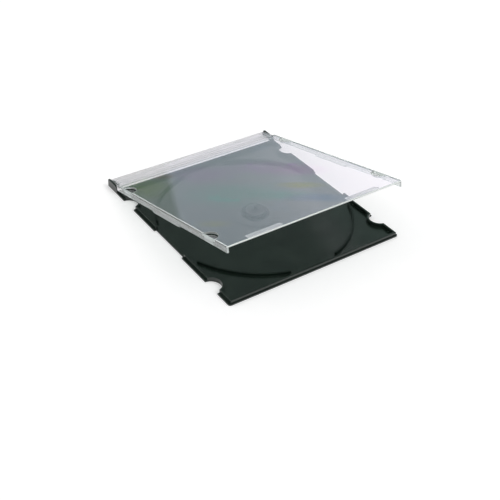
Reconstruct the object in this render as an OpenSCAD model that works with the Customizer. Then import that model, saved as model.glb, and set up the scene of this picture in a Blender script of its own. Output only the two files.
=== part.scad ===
// Slim disc case: a black tray with a clear lid hinged along the spine.
// X runs from the spine to the free edge, Y runs along the spine and Z points up.
// The origin is at the centre of the tray's underside. Sizes are in millimetres.

/* [Disc] */
// Diameter of the disc that the case holds
disc_d = 120; // [80:1:150]
// Thickness of the disc
disc_t = 1.2; // [1:0.1:1.4]
// Radial gap between the disc and the ribs round it
disc_gap = 1; // [0.6:0.1:1.5]
// Radial gap between the disc and the edge of the dish under it
dish_gap = 0.5; // [0.2:0.1:0.5]

/* [Case] */
// Height of the closed case
case_h = 5.2; // [4.9:0.1:8]
// From the spine to the edge of the disc
spine_margin = 17.5; // [17:0.5:25]
// From the edge of the disc to the free edge
front_margin = 4.5; // [4:0.5:10]
// From the edge of the disc to each side
side_margin = 2.5; // [2:0.5:6]
// Angle at which the lid stands open
lid_open = 14; // [0:1:160]

/* [Tray] */
// Thickness of the tray's floor and of the ledge round it
floor_t = 1; // [0.8:0.1:1.4]
// Depth of the round dish under the disc
dish_depth = 0.2; // [0.1:0.05:0.4]
// Thickness of the tray's upright walls
wall_t = 1.2; // [0.8:0.1:1.6]
// Width of the ledge in front of the front wall
front_ledge = 0.7; // [0.4:0.1:1.5]
// Radius of the tray's front corners
corner_r = 1.5; // [0.5:0.5:4]
// How far the tray's floor reaches back under the strip of the lid
rear_lap = 3.4; // [0.2:0.1:3.6]
// Radius where the floor runs out into the ears
neck_r = 4; // [1:0.5:5]
// Thickness of the ribs round the disc
rib_t = 1.3; // [0.8:0.1:1.8]
// Angle from the case's length to the near end of each rib
rib_from = 15.5; // [10:0.5:30]
// Angle from the case's length to the far end of each rib
rib_to = 68; // [50:1:70]

/* [Hub] */
// Diameter of the hub's fingers, which stand in the hole of the disc
hub_d = 14.4; // [12:0.1:18]
// Thickness of the fingers
finger_t = 0.9; // [0.7:0.1:1.2]
// Number of fingers
fingers = 12; // [6:1:16]
// Width of the slits between the fingers
slit_w = 0.5; // [0.4:0.1:1]
// Radius of the fingers' rounded shoulders
shoulder_r = 0.8; // [0.5:0.1:0.9]
// How far the shoulders stand out past the fingers
snap = 0.1; // [0:0.05:0.15]
// Height from the top of the disc to the widest part of the shoulders
snap_gap = 0.2; // [0.1:0.05:0.4]
// Diameter of the opening between the fingers' tips
eye_d = 5; // [4:0.5:8]
// Diameter of the raised seat under the disc
seat_d = 30; // [24:1:34]
// Height of the seat above the dish
seat_h = 0.6; // [0.4:0.1:0.8]

/* [Lid] */
// Thickness of the clear panel
panel_t = 1.1; // [0.9:0.1:1.4]
// Thickness of the side rails
rail_t = 1.2; // [1:0.1:1.5]
// Radius of the rails' lower rear corners
rail_r = 1; // [0.5:0.1:2]
// Radius of the lid's free corners
lid_r = 0.5; // [0.2:0.1:1]
// Width of the thicker strip along the spine
strip_l = 16; // [15:0.1:18]
// Thickness of the strip along the spine
strip_t = 1.7; // [1.5:0.1:2]
// From the back of the tray's ears to the back of the strip
strip_inset = 0.5; // [0.5:0.1:1.2]
// Radius of the strip's upper rear edge
strip_r = 0.7; // [0.5:0.1:1]
// Number of grooves along the underside of the strip
grooves = 4; // [1:1:5]
// Radius of the grooves
groove_r = 0.3; // [0.2:0.05:0.4]
// From each side of the case to the ends of the grooves
groove_end = 4; // [4:0.5:20]
// Room for a card between the panel and the tabs
card_gap = 0.55; // [0.3:0.05:0.8]
// Thickness of the tabs and lips that hold the card
tab_t = 0.7; // [0.5:0.1:0.9]
// Radius of the half-moon tabs
tab_r = 5; // [4:0.2:6]
// Gap between each tab and the opening above it in the panel
opening_gap = 0.8; // [0.4:0.1:1]
// Thickness of rail left outside that opening
opening_skin = 0.5; // [0.4:0.1:0.7]
// From the spine to the middle of the rear tabs
tab_spine = 27.5; // [23:0.5:35]
// From the free edge to the middle of the front tabs
tab_front = 18.5; // [12:0.5:30]
// Length of the deep stretch of each rail, where fingers grip it
grip_l = 32; // [28:1:50]
// Length of each lip inside the free edge
lip_l = 23; // [10:1:30]
// From the side of the case to the lip's near end
lip_side = 16; // [10:1:20]
// How far each lip reaches in from the front
lip_w = 3.8; // [2:0.2:4]
// Thickness of the web that hangs each lip from the panel
web_t = 1; // [0.6:0.1:1.5]

/* [Catch] */
// From the free edge to the bump that holds the lid shut
bump_front = 42; // [35:1:45]
// Radius of the bump
bump_r = 0.5; // [0.3:0.05:0.6]
// Height of the bump
bump_h = 1; // [0.5:0.1:1.5]
// How far the bump stands out of its rail
bump_out = 0.15; // [0.05:0.05:0.15]

/* [Hinge] */
// From the spine to the hinge axis
hinge_x = 4; // [3.5:0.1:5]
// Diameter of the pegs on the tray's ears
peg_d = 2.6; // [2:0.1:3]
// Radial running gap between a peg and its hole
peg_gap = 0.06; // [0.03:0.01:0.1]
// Length of the ears
ear_l = 12; // [11:0.5:13]
// Thickness of the ears
ear_t = 1.3; // [1:0.1:1.6]
// Radius of the ears' upper front corners
ear_r = 2.5; // [1:0.5:3]
// Radius of the ears' other corners
ear_small_r = 0.7; // [0.3:0.1:1]
// Thickness of the lid's hinge arms
arm_t = 1.6; // [1.2:0.1:2]
// Length of the hinge arms along the case
arm_l = 9; // [8:0.5:9]
// Height of the hinge arms' round ends above the table
arm_low = 0.5; // [0.3:0.1:0.7]

/* [Gaps] */
// Gap between the rails and the tray's walls
side_gap = 0.2; // [0.15:0.05:0.4]
// Gap between the rails and the ledge below them
ledge_gap = 0.15; // [0.1:0.05:0.3]
// Height left between the tops of the walls and the closed panel
wall_gap = 1; // [0.5:0.1:1.5]
// Height left between the tops of the ribs and the lips
rib_gap = 0.15; // [0.1:0.05:0.3]
// Gap between the half-moon tabs and the notches round them in the tray
tab_gap = 1.3; // [0.4:0.1:1.5]
// Gap between each ear and the lid beside it
ear_gap = 0.2; // [0.15:0.05:0.4]
// Gap between each ear and the end of the rail in front of it
rail_end_gap = 0.6; // [0.5:0.1:1]
// Gap at the ends of the grips
grip_gap = 0.4; // [0.3:0.1:0.8]
// Height of the grips above the table
grip_low = 0.15; // [0.1:0.05:0.3]
// Gap between the lips and the front wall
lip_gap = 0.4; // [0.3:0.1:0.8]

/* [Hidden] */
$fn = 96;
black = [0.02, 0.025, 0.022];
clear = [0.8, 0.85, 0.84, 0.35];
// Reach of a cutter past a face, or of a joined solid into its neighbour
eps = 0.5;

// Overall outline, built up from the disc
case_l = spine_margin + disc_d + front_margin;
case_w = disc_d + 2 * side_margin;
disc_x = spine_margin + disc_d / 2;

// Heights of the lid's card room, counted down from the top
panel_z = case_h - panel_t;
tab_z = panel_z - card_gap - tab_t;

// Heights on the tray, where the hub is counted up from the disc's place
rib_top = tab_z - rib_gap;
wall_top = panel_z - wall_gap;
dish_z = floor_t - dish_depth;
seat_z = dish_z + seat_h;
shoulder_z = seat_z + disc_t + snap_gap;
hub_top = shoulder_z + shoulder_r;

// Plan of the tray
wall_y = rail_t + side_gap;
rear_x = strip_l - rear_lap;
front_x = case_l - front_ledge;
rib_r = disc_d / 2 + disc_gap;
dish_r = disc_d / 2 + dish_gap;
tab_xs = [tab_spine, case_l - tab_front];
notch_r = tab_r + tab_gap;
grip_x = (tab_xs[0] + tab_xs[1] - grip_l) / 2;
bump_x = case_l - bump_front;
lip_x = front_x - wall_t - lip_gap;

// Hinge
hinge_z = case_h / 2;
arm_r = hinge_z - arm_low;
arm_x = hinge_x - arm_r;
arm_y = ear_t + ear_gap;
rail_x = ear_l + rail_end_gap;

// Repeats its children on the other side of the case
module both_sides() {
    children();
    translate([0, case_w, 0]) mirror([0, 1, 0]) children();
}

// Extrudes a profile drawn in X and Z from y0 to y1
module along_y(y0, y1) {
    translate([0, y1, 0]) rotate([90, 0, 0]) linear_extrude(y1 - y0) children();
}

// The waste that rounds off a corner at the origin, which points to +X +Y before the turn
module corner_waste(r, turn) {
    rotate(turn) translate([-r, -r]) difference() {
        square(r + eps);
        circle(r);
    }
}

// Plan of the floor, with the necks that carry the ears
module floor_plan() {
    difference() {
        translate([rear_x, 0]) square([case_l - rear_x, case_w]);
        translate([case_l, case_w]) corner_waste(corner_r, 0);
        translate([case_l, 0]) corner_waste(corner_r, 270);
    }
    both_sides() {
        square([rear_x + eps, ear_t]);
        translate([rear_x - neck_r, ear_t - eps]) difference() {
            square(neck_r + eps);
            translate([0, neck_r + eps]) circle(neck_r);
        }
    }
}

// Area inside the walls, where inset is the distance in from their outer faces
module walled_area(inset) {
    difference() {
        translate([rear_x + inset, wall_y + inset])
            square([front_x - rear_x - 2 * inset, case_w - 2 * (wall_y + inset)]);
        if (inset > 0)
            both_sides()
                for (x = tab_xs) translate([x, 0]) circle(notch_r + inset);
    }
}

// Upright walls at the rear, front and sides, open where the disc and the grips need room
module walls() {
    difference() {
        linear_extrude(wall_top) difference() {
            walled_area(0);
            walled_area(wall_t);
        }
        translate([disc_x, case_w / 2, floor_t]) cylinder(r = rib_r, h = case_h);
        both_sides() {
            translate([grip_x, -eps, floor_t]) cube([grip_l, wall_y + wall_t + 2 * eps, case_h]);
            translate([bump_x, wall_y - bump_r + bump_out, floor_t]) cylinder(r = bump_r, h = case_h);
        }
    }
}

// One rib of the ring that centres the disc
module rib() {
    far = 2 * rib_r;
    near_corner = [far * cos(rib_from), far * sin(rib_from)];
    far_corner = [far * cos(rib_to), far * sin(rib_to)];
    linear_extrude(rib_top) intersection() {
        difference() {
            circle(rib_r + rib_t);
            circle(rib_r);
        }
        polygon([[0, 0], near_corner, far_corner]);
    }
}

// Four ribs, mirrored about both middle lines of the disc
module ribs() {
    translate([disc_x, case_w / 2, 0])
        for (mx = [0, 1], my = [0, 1])
            mirror([mx, 0, 0]) mirror([0, my, 0]) rib();
}

// Ear at the end of the spine, with the peg that the lid turns on
module ear() {
    along_y(0, ear_t) difference() {
        square([ear_l, case_h]);
        translate([ear_l, case_h]) corner_waste(ear_r, 0);
        translate([0, case_h]) corner_waste(ear_small_r, 90);
        corner_waste(ear_small_r, 180);
    }
    translate([hinge_x, ear_t - eps, hinge_z]) rotate([-90, 0, 0]) cylinder(d = peg_d, h = arm_t + eps);
}

// Solid of the hub: the seat, the wall of the fingers and their rounded shoulders
module hub_solid() {
    shoulder_x = hub_d / 2 + snap - shoulder_r;
    rotate_extrude() {
        square([seat_d / 2, seat_z]);
        square([hub_d / 2, shoulder_z]);
        square([shoulder_x, hub_top]);
        translate([shoulder_x, shoulder_z]) circle(shoulder_r);
    }
}

// Hollow inside the fingers, the opening between their tips and the slits
module hub_hollow() {
    translate([0, 0, -eps]) cylinder(r = hub_d / 2 - finger_t, h = hub_top - finger_t + eps);
    cylinder(d = eye_d, h = case_h);
    for (i = [0 : fingers - 1])
        rotate(i * 360 / fingers) translate([0, -slit_w / 2, seat_z])
            cube([hub_d / 2 + snap + eps, slit_w, case_h]);
}

module tray() {
    color(black) translate([-case_l / 2, -case_w / 2, 0]) difference() {
        union() {
            difference() {
                linear_extrude(floor_t) floor_plan();
                translate([disc_x, case_w / 2, dish_z]) cylinder(r = dish_r, h = case_h);
            }
            walls();
            ribs();
            both_sides() ear();
            translate([disc_x, case_w / 2, 0]) hub_solid();
        }
        translate([disc_x, case_w / 2, 0]) hub_hollow();
        both_sides() {
            for (x = tab_xs) translate([x, 0, -eps]) cylinder(r = notch_r, h = case_h);
            translate([grip_x, -eps, -eps]) cube([grip_l, wall_y + eps, case_h]);
        }
    }
}

// Section through the panel and the thicker strip along the spine
module panel_section() {
    difference() {
        union() {
            translate([strip_inset, panel_z]) square([case_l - strip_inset, panel_t]);
            translate([strip_inset, case_h - strip_t]) square([strip_l - strip_inset, strip_t]);
        }
        translate([strip_inset, case_h]) corner_waste(strip_r, 90);
    }
}

// Side rail, which drops towards the table along the grip, with the bump that holds the lid shut
module rail() {
    along_y(0, rail_t) difference() {
        union() {
            translate([rail_x, floor_t + ledge_gap]) square([case_l - rail_x, panel_z - floor_t]);
            translate([grip_x + grip_gap, grip_low]) square([grip_l - 2 * grip_gap, panel_z - grip_low]);
        }
        translate([rail_x, floor_t + ledge_gap]) corner_waste(rail_r, 180);
    }
    translate([bump_x, rail_t + bump_out - bump_r, floor_t + bump_h]) cylinder(r = bump_r, h = bump_h);
}

// Half-moon tabs that hold a card against the panel
module tabs() {
    for (x = tab_xs)
        translate([x, 0, tab_z]) linear_extrude(tab_t) intersection() {
            circle(tab_r);
            translate([-tab_r, rail_t / 2]) square([2 * tab_r, tab_r]);
        }
}

// Openings through the panel above the tabs, cut down to their faces and into part of the rail
module tab_openings() {
    reach = tab_r + opening_gap;
    for (x = tab_xs)
        translate([x, 0, tab_z + tab_t]) linear_extrude(case_h) intersection() {
            circle(reach);
            translate([-reach, opening_skin]) square([2 * reach, reach]);
        }
}

// Lip inside the free edge, hung from the panel by a web along its front
module lip() {
    translate([lip_x - lip_w, lip_side, tab_z]) cube([lip_w, lip_l, tab_t]);
    translate([lip_x - web_t, lip_side, tab_z]) cube([web_t, lip_l, panel_z - tab_z + panel_t / 2]);
}

// Hinge arm under the strip, round about the hinge axis
module arm() {
    along_y(arm_y, arm_y + arm_t) {
        translate([hinge_x, hinge_z]) circle(arm_r);
        translate([arm_x, hinge_z]) square([arm_l, case_h - panel_t / 2 - hinge_z]);
    }
}

// Hole for the peg, through the arm and into the strip above it
module peg_hole() {
    translate([hinge_x, arm_y - eps, hinge_z]) rotate([-90, 0, 0])
        cylinder(r = peg_d / 2 + peg_gap, h = arm_t + eps);
}

// Half-round grooves along the underside of the strip, between the hinge arms
module strip_grooves() {
    pitch = (strip_l - strip_inset) / (grooves + 1);
    for (i = [1 : grooves])
        along_y(groove_end, case_w - groove_end)
            translate([strip_inset + i * pitch, case_h - strip_t]) circle(groove_r);
}

// The lid as it lies closed on the tray
module closed_lid() {
    difference() {
        union() {
            difference() {
                along_y(0, case_w) panel_section();
                both_sides() translate([-eps, -eps, 0]) cube([rail_x + eps, arm_y + eps, 2 * case_h]);
            }
            both_sides() {
                rail();
                tabs();
                lip();
                arm();
            }
        }
        strip_grooves();
        both_sides() {
            peg_hole();
            tab_openings();
            translate([case_l, 0, 0]) linear_extrude(2 * case_h) corner_waste(lid_r, 270);
        }
    }
}

module lid() {
    color(clear) translate([hinge_x - case_l / 2, -case_w / 2, hinge_z])
        rotate([0, -lid_open, 0]) translate([-hinge_x, 0, -hinge_z]) closed_lid();
}

tray();
lid();
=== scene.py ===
import math

import bmesh
import bpy
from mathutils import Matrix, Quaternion, Vector


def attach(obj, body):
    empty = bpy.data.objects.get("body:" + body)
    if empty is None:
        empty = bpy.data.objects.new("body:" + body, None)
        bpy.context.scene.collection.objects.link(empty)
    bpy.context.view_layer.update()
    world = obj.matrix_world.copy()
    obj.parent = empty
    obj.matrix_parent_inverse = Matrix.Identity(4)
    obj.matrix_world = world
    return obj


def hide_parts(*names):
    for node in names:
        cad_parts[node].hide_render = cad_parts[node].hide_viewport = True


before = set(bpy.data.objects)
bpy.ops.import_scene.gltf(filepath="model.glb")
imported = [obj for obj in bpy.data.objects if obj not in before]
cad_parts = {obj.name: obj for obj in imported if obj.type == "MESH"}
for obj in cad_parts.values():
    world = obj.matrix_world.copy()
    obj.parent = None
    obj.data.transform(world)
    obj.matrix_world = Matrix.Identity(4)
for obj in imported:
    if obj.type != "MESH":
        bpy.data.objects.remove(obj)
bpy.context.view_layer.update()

mm = 0.001
print("frame loaded")


class Value:
    # a shader socket that can be used in a Python expression

    def __init__(self, tree, socket):
        self.tree = tree
        self.socket = socket

    def maths(self, operation, *others):
        return self.tree.add("ShaderNodeMath", {"operation": operation}, [self, *others])

    def __add__(self, other):
        return self.maths("ADD", other)

    def __mul__(self, other):
        return self.maths("MULTIPLY", other)

    def __sub__(self, other):
        return self.maths("SUBTRACT", other)

    def __rsub__(self, other):
        return self.tree.add("ShaderNodeMath", {"operation": "SUBTRACT"}, [other, self])

    def __truediv__(self, other):
        return self.maths("DIVIDE", other)

    def __abs__(self):
        return self.maths("ABSOLUTE")

    __radd__ = __add__
    __rmul__ = __mul__


class Tree:
    # one node tree, with short ways to add what is used below

    def __init__(self, owner):
        owner.use_nodes = True
        self.nodes = owner.node_tree.nodes
        self.links = owner.node_tree.links
        self.nodes.clear()

    def add(self, kind, settings=None, values=(), output=0):
        # the settings come first, then the values or links, by place or by name
        node = self.nodes.new(kind)
        for name, setting in (settings or {}).items():
            setattr(node, name, setting)
        pairs = values.items() if isinstance(values, dict) else enumerate(values)
        for key, value in pairs:
            if isinstance(value, Value):
                self.links.new(value.socket, node.inputs[key])
            else:
                node.inputs[key].default_value = value
        return Value(self, node.outputs[output]) if node.outputs else None

    def objectPlace(self):
        return self.add("ShaderNodeTexCoord", output="Object")

    def ray(self, output):
        return self.add("ShaderNodeLightPath", output=output)

    def split(self, vector):
        parts = self.add("ShaderNodeSeparateXYZ", None, [vector]).socket.node.outputs
        return [Value(self, socket) for socket in parts]

    def join(self, x, y, z):
        return self.add("ShaderNodeCombineXYZ", None, [x, y, z])

    def dot(self, first, second):
        return self.add("ShaderNodeVectorMath", {"operation": "DOT_PRODUCT"}, [first, second], "Value")

    def mixColours(self, share, first, second):
        # inputs 6 and 7 and output 2 are the colours
        first = first if isinstance(first, Value) else (*first, 1)
        second = second if isinstance(second, Value) else (*second, 1)
        return self.add("ShaderNodeMix", {"data_type": "RGBA"}, {0: share, 6: first, 7: second}, 2)

    def mixShaders(self, share, first, second):
        return self.add("ShaderNodeMixShader", None, [share, first, second])

    def stepUp(self, value, low, high):
        # rises smoothly from 0 at low to 1 at high
        settings = {"interpolation_type": "SMOOTHSTEP"}
        return self.add("ShaderNodeMapRange", settings, [value, low, high, 0, 1])

    def within(self, value, reach, soft):
        # 1 where the value is below reach, 0 where it is above reach + soft
        return 1 - self.stepUp(value, reach, reach + soft)

    def distance(self, first, second):
        # the length of a flat vector, from its two parts
        return (first * first + second * second).maths("SQRT")

    def noise(self, place, scale, detail):
        return self.add("ShaderNodeTexNoise", None, {"Vector": place, "Scale": scale, "Detail": detail})

    def principled(self, values):
        return self.add("ShaderNodeBsdfPrincipled", None, values)

    def plain(self, kind, colour):
        return self.add(f"ShaderNodeBsdf{kind}", None, {"Color": (*colour, 1)})

    def show(self, shader, kind="ShaderNodeOutputMaterial"):
        self.add(kind, None, {"Surface": shader})


def addObject(name, data):
    made = bpy.data.objects.new(name, data)
    bpy.context.scene.collection.objects.link(made)
    return made


# The studio: a pale sweep behind the case, a grey room elsewhere, a white floor

studio = {
    "room": (0.285, 0.38, 0.35),  # what gloss shows away from the sweep
    "sweep": (0.5, 0.6, 0.64),  # at its left edge
    "sweepFar": (1.0, 1.05, 1.14),  # further to the right
    "sweepFade": (0.03, 0.3),  # where one turns to the other, as sines of the angle from the left edge
    "sweepLeftDegrees": 154.7,  # azimuths from +X towards +Y
    "sweepRightDegrees": 95.0,
    "sweepTopDegrees": 24.0,
    "leftSoftness": 0.005,  # half widths of the sweep's edges, as sines
    "rightSoftness": 0.14,
    "topSoftness": 0.1,
    "skylight": (1.25, 1.35, 1.38),  # what the tray mirrors through the lid, high up
    "skylightDegrees": (20.0, 30.0),
    "skylightCrossings": (2.5, 3.5),  # faces of clear plastic that such a ray has passed
    "horizon": (0.02, 0.09),  # below this, what shows through clear plastic is white
    "ambient": 0.62,
    "floorHalf": 4.0,
    "floorColour": (0.86, 0.86, 0.86),
    "floorGlow": 0.28,
    "footprint": (0.071, 0.0625),  # half sizes of the case
    "glowEdge": (-0.03, 0.0),  # how far outside the footprint the glow begins, and where the painted shade on the paper under the case ends
    "paintedShadeEdge": (-0.05, -0.03),
}
white = (1, 1, 1)
black = (0, 0, 0)


def makeWorld():
    world = bpy.data.worlds.new("studioLight")
    bpy.context.scene.world = world
    tree = Tree(world)
    direction = tree.add("ShaderNodeTexCoord")  # in a world, its first output is the ray's direction
    height = tree.dot(direction, (0, 0, 1))
    left = math.radians(studio["sweepLeftDegrees"])
    right = math.radians(studio["sweepRightDegrees"])
    top = math.sin(math.radians(studio["sweepTopDegrees"]))
    softLeft, softRight, softTop = [studio[name] for name in ("leftSoftness", "rightSoftness", "topSoftness")]
    insideLeft = tree.dot(direction, (math.sin(left), -math.cos(left), 0))
    insideRight = tree.dot(direction, (-math.sin(right), math.cos(right), 0))
    mask = (tree.stepUp(insideLeft, -softLeft, softLeft) * tree.stepUp(insideRight, -softRight, softRight)
            * (1 - tree.stepUp(height, top - softTop, top + softTop)))
    sweep = tree.mixColours(tree.stepUp(insideLeft, *studio["sweepFade"]), studio["sweep"], studio["sweepFar"])
    mirrored = tree.mixColours(mask, studio["room"], sweep)
    skyFrom, skyTo = [math.sin(math.radians(degrees)) for degrees in studio["skylightDegrees"]]
    underLid = tree.stepUp(tree.ray("Transmission Depth"), *studio["skylightCrossings"])
    above = tree.mixColours(underLid * tree.stepUp(height, skyFrom, skyTo), mirrored, studio["skylight"])
    through = tree.mixColours(tree.stepUp(height, *studio["horizon"]), white, above)
    light = (studio["ambient"],) * 3
    for ray, colour in (("Is Glossy Ray", mirrored), ("Is Transmission Ray", through), ("Is Camera Ray", white)):
        light = tree.mixColours(tree.ray(ray), light, colour)
    background = tree.add("ShaderNodeBackground", None, {"Color": light, "Strength": 1.0})
    tree.show(background, "ShaderNodeOutputWorld")


# Two wide soft lamps: the direction they stand in, their strength and their width in degrees
lamps = {
    "keyLamp": ((0.62, 0.48, 0.9), 0.75, 26),
    "fillLamp": ((-0.55, -0.5, 0.75), 0.45, 26),
}


def makeLamps():
    for name, (place, strength, width) in lamps.items():
        data = bpy.data.lights.new(name, "SUN")
        data.energy = strength
        data.angle = math.radians(width)
        lamp = addObject(name, data)
        lamp.visible_glossy = False  # its hard edge would show in the lid
        lamp.visible_transmission = False
        lamp.rotation_mode = "QUATERNION"
        lamp.rotation_quaternion = Vector(place).to_track_quat("Z", "Y")


def makeFloor():
    half = studio["floorHalf"]
    mesh = bpy.data.meshes.new("floor")
    mesh.from_pydata([(-half, -half, 0), (half, -half, 0), (half, half, 0), (-half, half, 0)], [], [(0, 1, 2, 3)])
    floor = addObject("floor", mesh)
    material = bpy.data.materials.new("paperFloor")
    tree = Tree(material)
    seen = tree.ray("Is Camera Ray")
    for ray in ("Is Glossy Ray", "Is Transmission Ray"):
        seen = seen.maths("MAXIMUM", tree.ray(ray))
    x, y, z = tree.split(tree.objectPlace())
    halfX, halfY = studio["footprint"]
    outside = (abs(x) - halfX).maths("MAXIMUM", abs(y) - halfY)
    seen = seen * tree.stepUp(outside, *studio["glowEdge"])
    # painted shade: the paper turns black under the middle of the case, so the hub's hollow shows dark
    paperWithPaintedShade = tree.mixColours(tree.stepUp(outside, *studio["paintedShadeEdge"]), black, studio["floorColour"])
    paper = tree.add("ShaderNodeBsdfDiffuse", None, {"Color": paperWithPaintedShade})
    glow = tree.add("ShaderNodeEmission", None, {"Color": (*white, 1), "Strength": seen * studio["floorGlow"]})
    tree.show(tree.add("ShaderNodeAddShader", None, [paper, glow]))
    mesh.materials.append(material)


cameraView = {
    "place": (377.99 * mm, -278.56 * mm, 324.7 * mm),
    "aim": (34.51 * mm, -23.3 * mm, 0),
    "rollDegrees": 2.996,
    "lens": 64.74,
    "sensor": 36,
}


def makeCamera():
    data = bpy.data.cameras.new("camera")
    data.lens = cameraView["lens"]
    data.sensor_width = cameraView["sensor"]
    camera = addObject("camera", data)
    bpy.context.scene.camera = camera
    camera.location = cameraView["place"]
    look = Vector(cameraView["aim"]) - Vector(cameraView["place"])
    roll = Quaternion((0, 0, 1), math.radians(cameraView["rollDegrees"]))
    camera.rotation_mode = "QUATERNION"
    camera.rotation_quaternion = look.to_track_quat("-Z", "Y") @ roll


makeWorld()
makeLamps()
makeFloor()
makeCamera()
bpy.context.scene.view_settings.view_transform = "Standard"
print("studio made")


# Both mouldings are copies of the CAD skins with rounded edges

rounding = {
    "mergeWithin": 0.002 * mm,
    "flatDegrees": 0.3,  # faces that meet at less are one face
    "cornerDegrees": 32,  # edges that turn by more are rounded
    "segments": 2,
}


def roundedCopy(node, name, width, keepSharp, material):
    # a copy of the CAD node as one merged skin, with its flat faces whole and its edges rounded
    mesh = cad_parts[node].data.copy()
    mesh.name = name
    body = bmesh.new()
    body.from_mesh(mesh)
    bmesh.ops.remove_doubles(body, verts=body.verts, dist=rounding["mergeWithin"])
    flat = math.radians(rounding["flatDegrees"])
    bmesh.ops.dissolve_limit(body, angle_limit=flat, verts=body.verts[:], edges=body.edges[:])
    weights = body.edges.layers.float.new("bevel_weight_edge")
    turn = math.radians(rounding["cornerDegrees"])
    for edge in body.edges:
        corner = len(edge.link_faces) == 2 and edge.calc_face_angle() > turn
        middle = (edge.verts[0].co + edge.verts[1].co) / 2
        edge[weights] = 1.0 if corner and not keepSharp(middle) else 0.0
        edge.smooth = not corner
    for face in body.faces:
        face.smooth = True
    body.to_mesh(mesh)
    body.free()
    mesh.materials.clear()
    mesh.materials.append(material)
    piece = addObject(name, mesh)
    bevel = piece.modifiers.new("roundEdges", "BEVEL")
    bevel.limit_method = "WEIGHT"
    bevel.width = width
    bevel.segments = rounding["segments"]
    bevel.use_clamp_overlap = False
    bevel.harden_normals = True
    return piece


# Black tray, with the places of its ring and ribs in mm from the middle of the hub

tray = {
    "edgeRound": 0.12 * mm,
    "colour": (0.006, 0.0115, 0.0085),
    "paler": (0.011, 0.019, 0.014),
    "palerFrom": (0.3, 0.7),  # shares of the cloud pattern
    "index": 1.57,
    "roughness": 0.2,
    "cloudRoughness": 0.05,
    "cloudFrom": (0.35, 0.75),
    "fineRoughness": 0.03,
    "fineFrom": (0.5, 0.8),
    "cloudScale": 60,
    "fineScale": 900,
    "waveScale": 45,
    "waveStrength": 0.25,
    "waveDepth": 0.02 * mm,
    "hubReach": 15.5 * mm,  # the hub's small edges stay as they are
    "hubCentre": (6.5 * mm, 0),
    "ringRadius": 7.6,  # the matt ring round the hub
    "ringHalfWidth": 0.9,
    "ringFade": 0.8,
    "ringRoughness": 0.4,
    "ribRadius": 62.3,  # the four ribs, which get painted shade
    "ribHalfWidth": 1.1,
    "ribFade": 0.2,
    "ribFoot": (1.05, 1.15),
    "wallClear": (59.5, 0.5),  # the ribs end this far from the middle line, before the side walls
    # the share of the rib band's gloss swapped for plain diffuse, as painted shade
    "ribPaintedShade": 0.5,
}


def blackPlastic():
    material = bpy.data.materials.new("blackPlastic")
    tree = Tree(material)
    place = tree.objectPlace()
    x, y, z = tree.split(place)
    cloud = tree.noise(place, tray["cloudScale"], detail=4)
    fine = tree.noise(place, tray["fineScale"], detail=2)
    waves = tree.noise(place, tray["waveScale"], detail=1)
    toHub = tree.distance(x - tray["hubCentre"][0], y) / mm
    ring = tree.within(abs(toHub - tray["ringRadius"]), tray["ringHalfWidth"], tray["ringFade"])
    ribs = (tree.within(abs(toHub - tray["ribRadius"]), tray["ribHalfWidth"], tray["ribFade"])
            * tree.within(abs(y) / mm, *tray["wallClear"]) * tree.stepUp(z / mm, *tray["ribFoot"]))
    colour = tree.mixColours(tree.stepUp(cloud, *tray["palerFrom"]), tray["colour"], tray["paler"])
    roughness = (tree.stepUp(cloud, *tray["cloudFrom"]) * tray["cloudRoughness"]
                 + tree.stepUp(fine, *tray["fineFrom"]) * tray["fineRoughness"]
                 + tray["roughness"] + ring * tray["ringRoughness"])
    bump = tree.add("ShaderNodeBump", None, {
        "Strength": tray["waveStrength"], "Distance": tray["waveDepth"], "Height": waves})
    glossy = tree.principled({
        "Base Color": colour, "Roughness": roughness, "IOR": tray["index"], "Normal": bump})
    # painted shade on the ribs: part of their gloss gives way to plain diffuse, so they render darker
    tree.show(tree.mixShaders(ribs * tray["ribPaintedShade"], glossy, tree.plain("Diffuse", tray["colour"])))
    return material


def nearHub(point):
    x, y = tray["hubCentre"]
    return math.hypot(point.x - x, point.y - y) < tray["hubReach"]


trayPiece = roundedCopy("tray", "blackTray", tray["edgeRound"], nearHub, blackPlastic())
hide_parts("tray")
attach(trayPiece, "tray")
print("tray made")


# Clear lid, whose places are given on the closed case in mm: from the spine, from the nearer side and up

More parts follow.
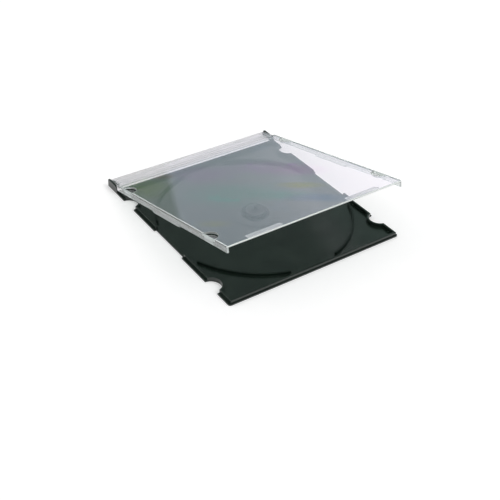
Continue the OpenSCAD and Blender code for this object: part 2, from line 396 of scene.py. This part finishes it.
lid = {
    "edgeRound": 0.14 * mm,
    "turnDegrees": 14.0,
    "hinge": (-67.0, 2.6),
    "spine": -71.0,
    "halfWidth": 62.5,
    "index": 1.585,
    "panelTint": (1.0, 0.935, 0.96),
    "edgeTint": (0.965, 0.985, 0.975),
    "stripTint": (0.88, 0.82, 0.85),
    "panelRoughness": 0.003,
    "cloudRoughness": 0.002,
    "cloudSize": 25,
    "edgeRoughness": 0.06,
    "shadow": (0.88, 0.9, 0.89),
    "railDepth": 1.2,
    "railFade": 0.1,
    "stripWidth": 15.9,
    "stripFade": 0.2,
    "frontFace": (141.7, 141.85),
    "underPanel": (3.6, 3.7),  # the panel lies above this height
    "lipFrom": (135.7, 135.9),
    "tabMiddle": 75.5,
    "tabApart": 48.0,
    "openingRadius": 5.8,
    "rimHalfWidth": 0.08,
    "rimFade": 0.12,
    "paintedGlow": {  # how much painted glow each place gets, and by what pattern: a pale shader standing in for light the clear plastic gathers inside
        "colour": (0.85, 0.885, 0.875),
        "through": 0.5,  # the share of the painted glow's shader that lets light through
        "front": 0.85,
        "opening": 0.6,
        "lip": 0.55,
        "rail": 0.05,
        "railStreaks": 0.3,
        "railTabGlow": 0.35,
        "streakFrom": (0.35, 0.7),
        "streakLength": 30,
        "streaksPerMm": 1.5,
        "tabGlowReach": 3.5,
        "tabGlowFade": 2.5,
        "strip": 0.01,
        "stripLines": 0.2,
        "lineFrom": (0.45, 0.62),
        "lineLength": 45,
        "linesPerMm": 1.1,
    },
    "glint": {  # the bright line along the upper part of the free edge
        "colour": (0.97, 1.0, 0.98),
        "roughness": 0.15,
        "share": 0.7,
        "height": (4.45, 4.55),
    },
    "stress": {  # stress colour over the panel's upper face: the plastic's own stress pattern, shown as a painted reflection on a thin coloured metal mirror layer
        "share": 0.155,
        "upperFace": (5.0, 5.1),
        "roughness": 0.02,
        "between": (0.75, 0.8, 0.85),
        "wanderSize": 40,
        "patchCore": 0.1,
        "patchFade": 1.1,
        "patches": [  # middle, half sizes, turn in degrees, colour
            ((84, 44), (34, 22), 41, (0.35, 1.0, 0.8)),
            ((40, 50), (30, 17), 41, (0.92, 0.5, 1.0)),
            ((57, 80), (22, 12), 41, (0.9, 0.5, 1.0)),
            ((79, 92), (24, 13), 41, (1.0, 0.3, 1.0)),
            ((106, 62), (22, 9), 41, (0.2, 1.0, 0.8)),
            ((102, 79), (18, 6), 41, (1.0, 1.0, 0.0)),
            ((126, 75), (22, 8), 41, (0.15, 0.5, 1.0)),
            ((112, 12), (11, 6), 41, (0.95, 0.92, 0.5)),
            ((32, 9), (28, 19), 10, (0.65, 0.9, 0.02)),
            ((24, 28), (9, 6), 41, (1.0, 0.45, 0.3)),
        ],
    },
}


def lidPlace(tree):
    # the place on the closed case: the lid's turn about its hinge is undone
    x, y, z = tree.split(tree.objectPlace())
    turn = math.radians(lid["turnDegrees"])
    cosine, sine = math.cos(turn), math.sin(turn)
    hingeX, hingeZ = lid["hinge"]
    ahead = x / mm - hingeX
    above = z / mm - hingeZ
    fromSpine = ahead * cosine + above * sine + (hingeX - lid["spine"])
    height = above * cosine - ahead * sine + hingeZ
    return fromSpine, y / mm, height


def stressColour(tree, fromSpine, along):
    # each patch is a turned ellipse with a soft edge, which a slow noise bends
    stress = lid["stress"]
    colour = stress["between"]
    size = stress["wanderSize"]
    wander = tree.noise(tree.join(fromSpine / size, along / size, 0), 1, detail=2) - 0.5  # about zero
    for (middleX, middleY), (halfX, halfY), degrees, patch in stress["patches"]:
        cosine, sine = math.cos(math.radians(degrees)), math.sin(math.radians(degrees))
        ahead = fromSpine - middleX
        aside = along + (lid["halfWidth"] - middleY)
        first = (ahead * cosine + aside * sine) / halfX + wander
        second = (aside * cosine - ahead * sine) / halfY + wander
        inside = tree.within(tree.distance(first, second), stress["patchCore"], stress["patchFade"])
        colour = tree.mixColours(inside, colour, patch)
    return colour


def lidPaintedGlow(tree, fromSpine, along, height, places):
    # painted glow: streaks of it on the rails, lighter patches beside the tabs, fine lines on the strip drawing
    # its grip lines in painted light, even glow on the free edge, tab openings and lips
    paintedGlow = lid["paintedGlow"]
    streakPlace = tree.join(fromSpine / paintedGlow["streakLength"], along * paintedGlow["streaksPerMm"],
                            height * paintedGlow["streaksPerMm"])
    streaks = tree.stepUp(tree.noise(streakPlace, 1, detail=3), *paintedGlow["streakFrom"])
    tabGlow = tree.within(places["toTab"], paintedGlow["tabGlowReach"], paintedGlow["tabGlowFade"])
    linePlace = tree.join(fromSpine * paintedGlow["linesPerMm"], along / paintedGlow["lineLength"], 0)
    lines = tree.stepUp(tree.noise(linePlace, 1, detail=3), *paintedGlow["lineFrom"])
    # painted light on the rails, streaked and stronger beside each tab
    paintedGlowShare = places["rail"] * (streaks * paintedGlow["railStreaks"] + tabGlow * paintedGlow["railTabGlow"]
                              + paintedGlow["rail"])
    for name in ("front", "opening", "lip"):
        paintedGlowShare = paintedGlowShare.maths("MAXIMUM", places[name] * paintedGlow[name])
    onStrip = places["strip"] * (lines * paintedGlow["stripLines"] + paintedGlow["strip"])
    return paintedGlowShare.maths("MAXIMUM", onStrip)


def lidPlaces(tree, fromSpine, along, height):
    # masks for the parts of the lid, and the distance along a rail to its nearer tab
    inward = lid["halfWidth"] - abs(along)
    toTab = abs(abs(fromSpine - lid["tabMiddle"]) - lid["tabApart"])
    toRim = abs(tree.distance(toTab, inward) - lid["openingRadius"])
    rail = tree.within(inward, lid["railDepth"], lid["railFade"])
    inPanel = tree.stepUp(height, *lid["underPanel"])
    return {
        "rail": rail,
        "strip": tree.within(fromSpine, lid["stripWidth"], lid["stripFade"]),
        "front": tree.stepUp(fromSpine, *lid["frontFace"]),
        "opening": tree.within(toRim, lid["rimHalfWidth"], lid["rimFade"]) * inPanel,
        "lip": tree.stepUp(fromSpine, *lid["lipFrom"]) * (1 - rail) * (1 - inPanel),
        "toTab": toTab,
    }


def clearPlastic():
    material = bpy.data.materials.new("clearPlastic")
    tree = Tree(material)
    fromSpine, along, height = lidPlace(tree)
    places = lidPlaces(tree, fromSpine, along, height)
    paintedGlow, glint, stress = [lid[name] for name in ("paintedGlow", "glint", "stress")]
    edges = places["rail"].maths("MAXIMUM", places["strip"]).maths("MAXIMUM", places["front"])
    tint = tree.mixColours(places["strip"], tree.mixColours(edges, lid["panelTint"], lid["edgeTint"]),
                           lid["stripTint"])
    cloud = tree.noise(tree.join(fromSpine / lid["cloudSize"], along / lid["cloudSize"], 0), 1, detail=3)
    roughness = (edges * (lid["edgeRoughness"] - lid["panelRoughness"])
                 + cloud * lid["cloudRoughness"] + lid["panelRoughness"])
    plastic = tree.principled({
        "Base Color": tint, "Roughness": roughness, "IOR": lid["index"], "Transmission Weight": 1.0})
    # painted reflection: the stress colours on a metal mirror layer over the upper face
    stressReflection = tree.principled({
        "Base Color": stressColour(tree, fromSpine, along), "Metallic": 1.0, "Roughness": stress["roughness"]})
    stressReflectionShare = (1 - edges) * tree.stepUp(height, *stress["upperFace"]) * stress["share"]
    # painted glow: pale diffuse and translucent light laid over the rails, edges and rims
    paintedGlowShader = tree.mixShaders(paintedGlow["through"], tree.plain("Diffuse", paintedGlow["colour"]),
                              tree.plain("Translucent", paintedGlow["colour"]))
    paintedGlowShare = lidPaintedGlow(tree, fromSpine, along, height, places)
    surface = tree.mixShaders(paintedGlowShare, tree.mixShaders(stressReflectionShare, plastic, stressReflection), paintedGlowShader)
    bright = tree.principled({
        "Base Color": (*glint["colour"], 1), "Metallic": 1.0, "Roughness": glint["roughness"]})
    brightShare = places["front"] * tree.stepUp(height, *glint["height"]) * glint["share"]
    surface = tree.mixShaders(brightShare, surface, bright)
    paleShadow = tree.plain("Transparent", lid["shadow"])
    tree.show(tree.mixShaders(tree.ray("Is Shadow Ray"), surface, paleShadow))
    return material


lidPiece = roundedCopy("lid", "clearLid", lid["edgeRound"], lambda point: False, clearPlastic())
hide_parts("lid")
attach(lidPiece, "lid")
print("lid made")
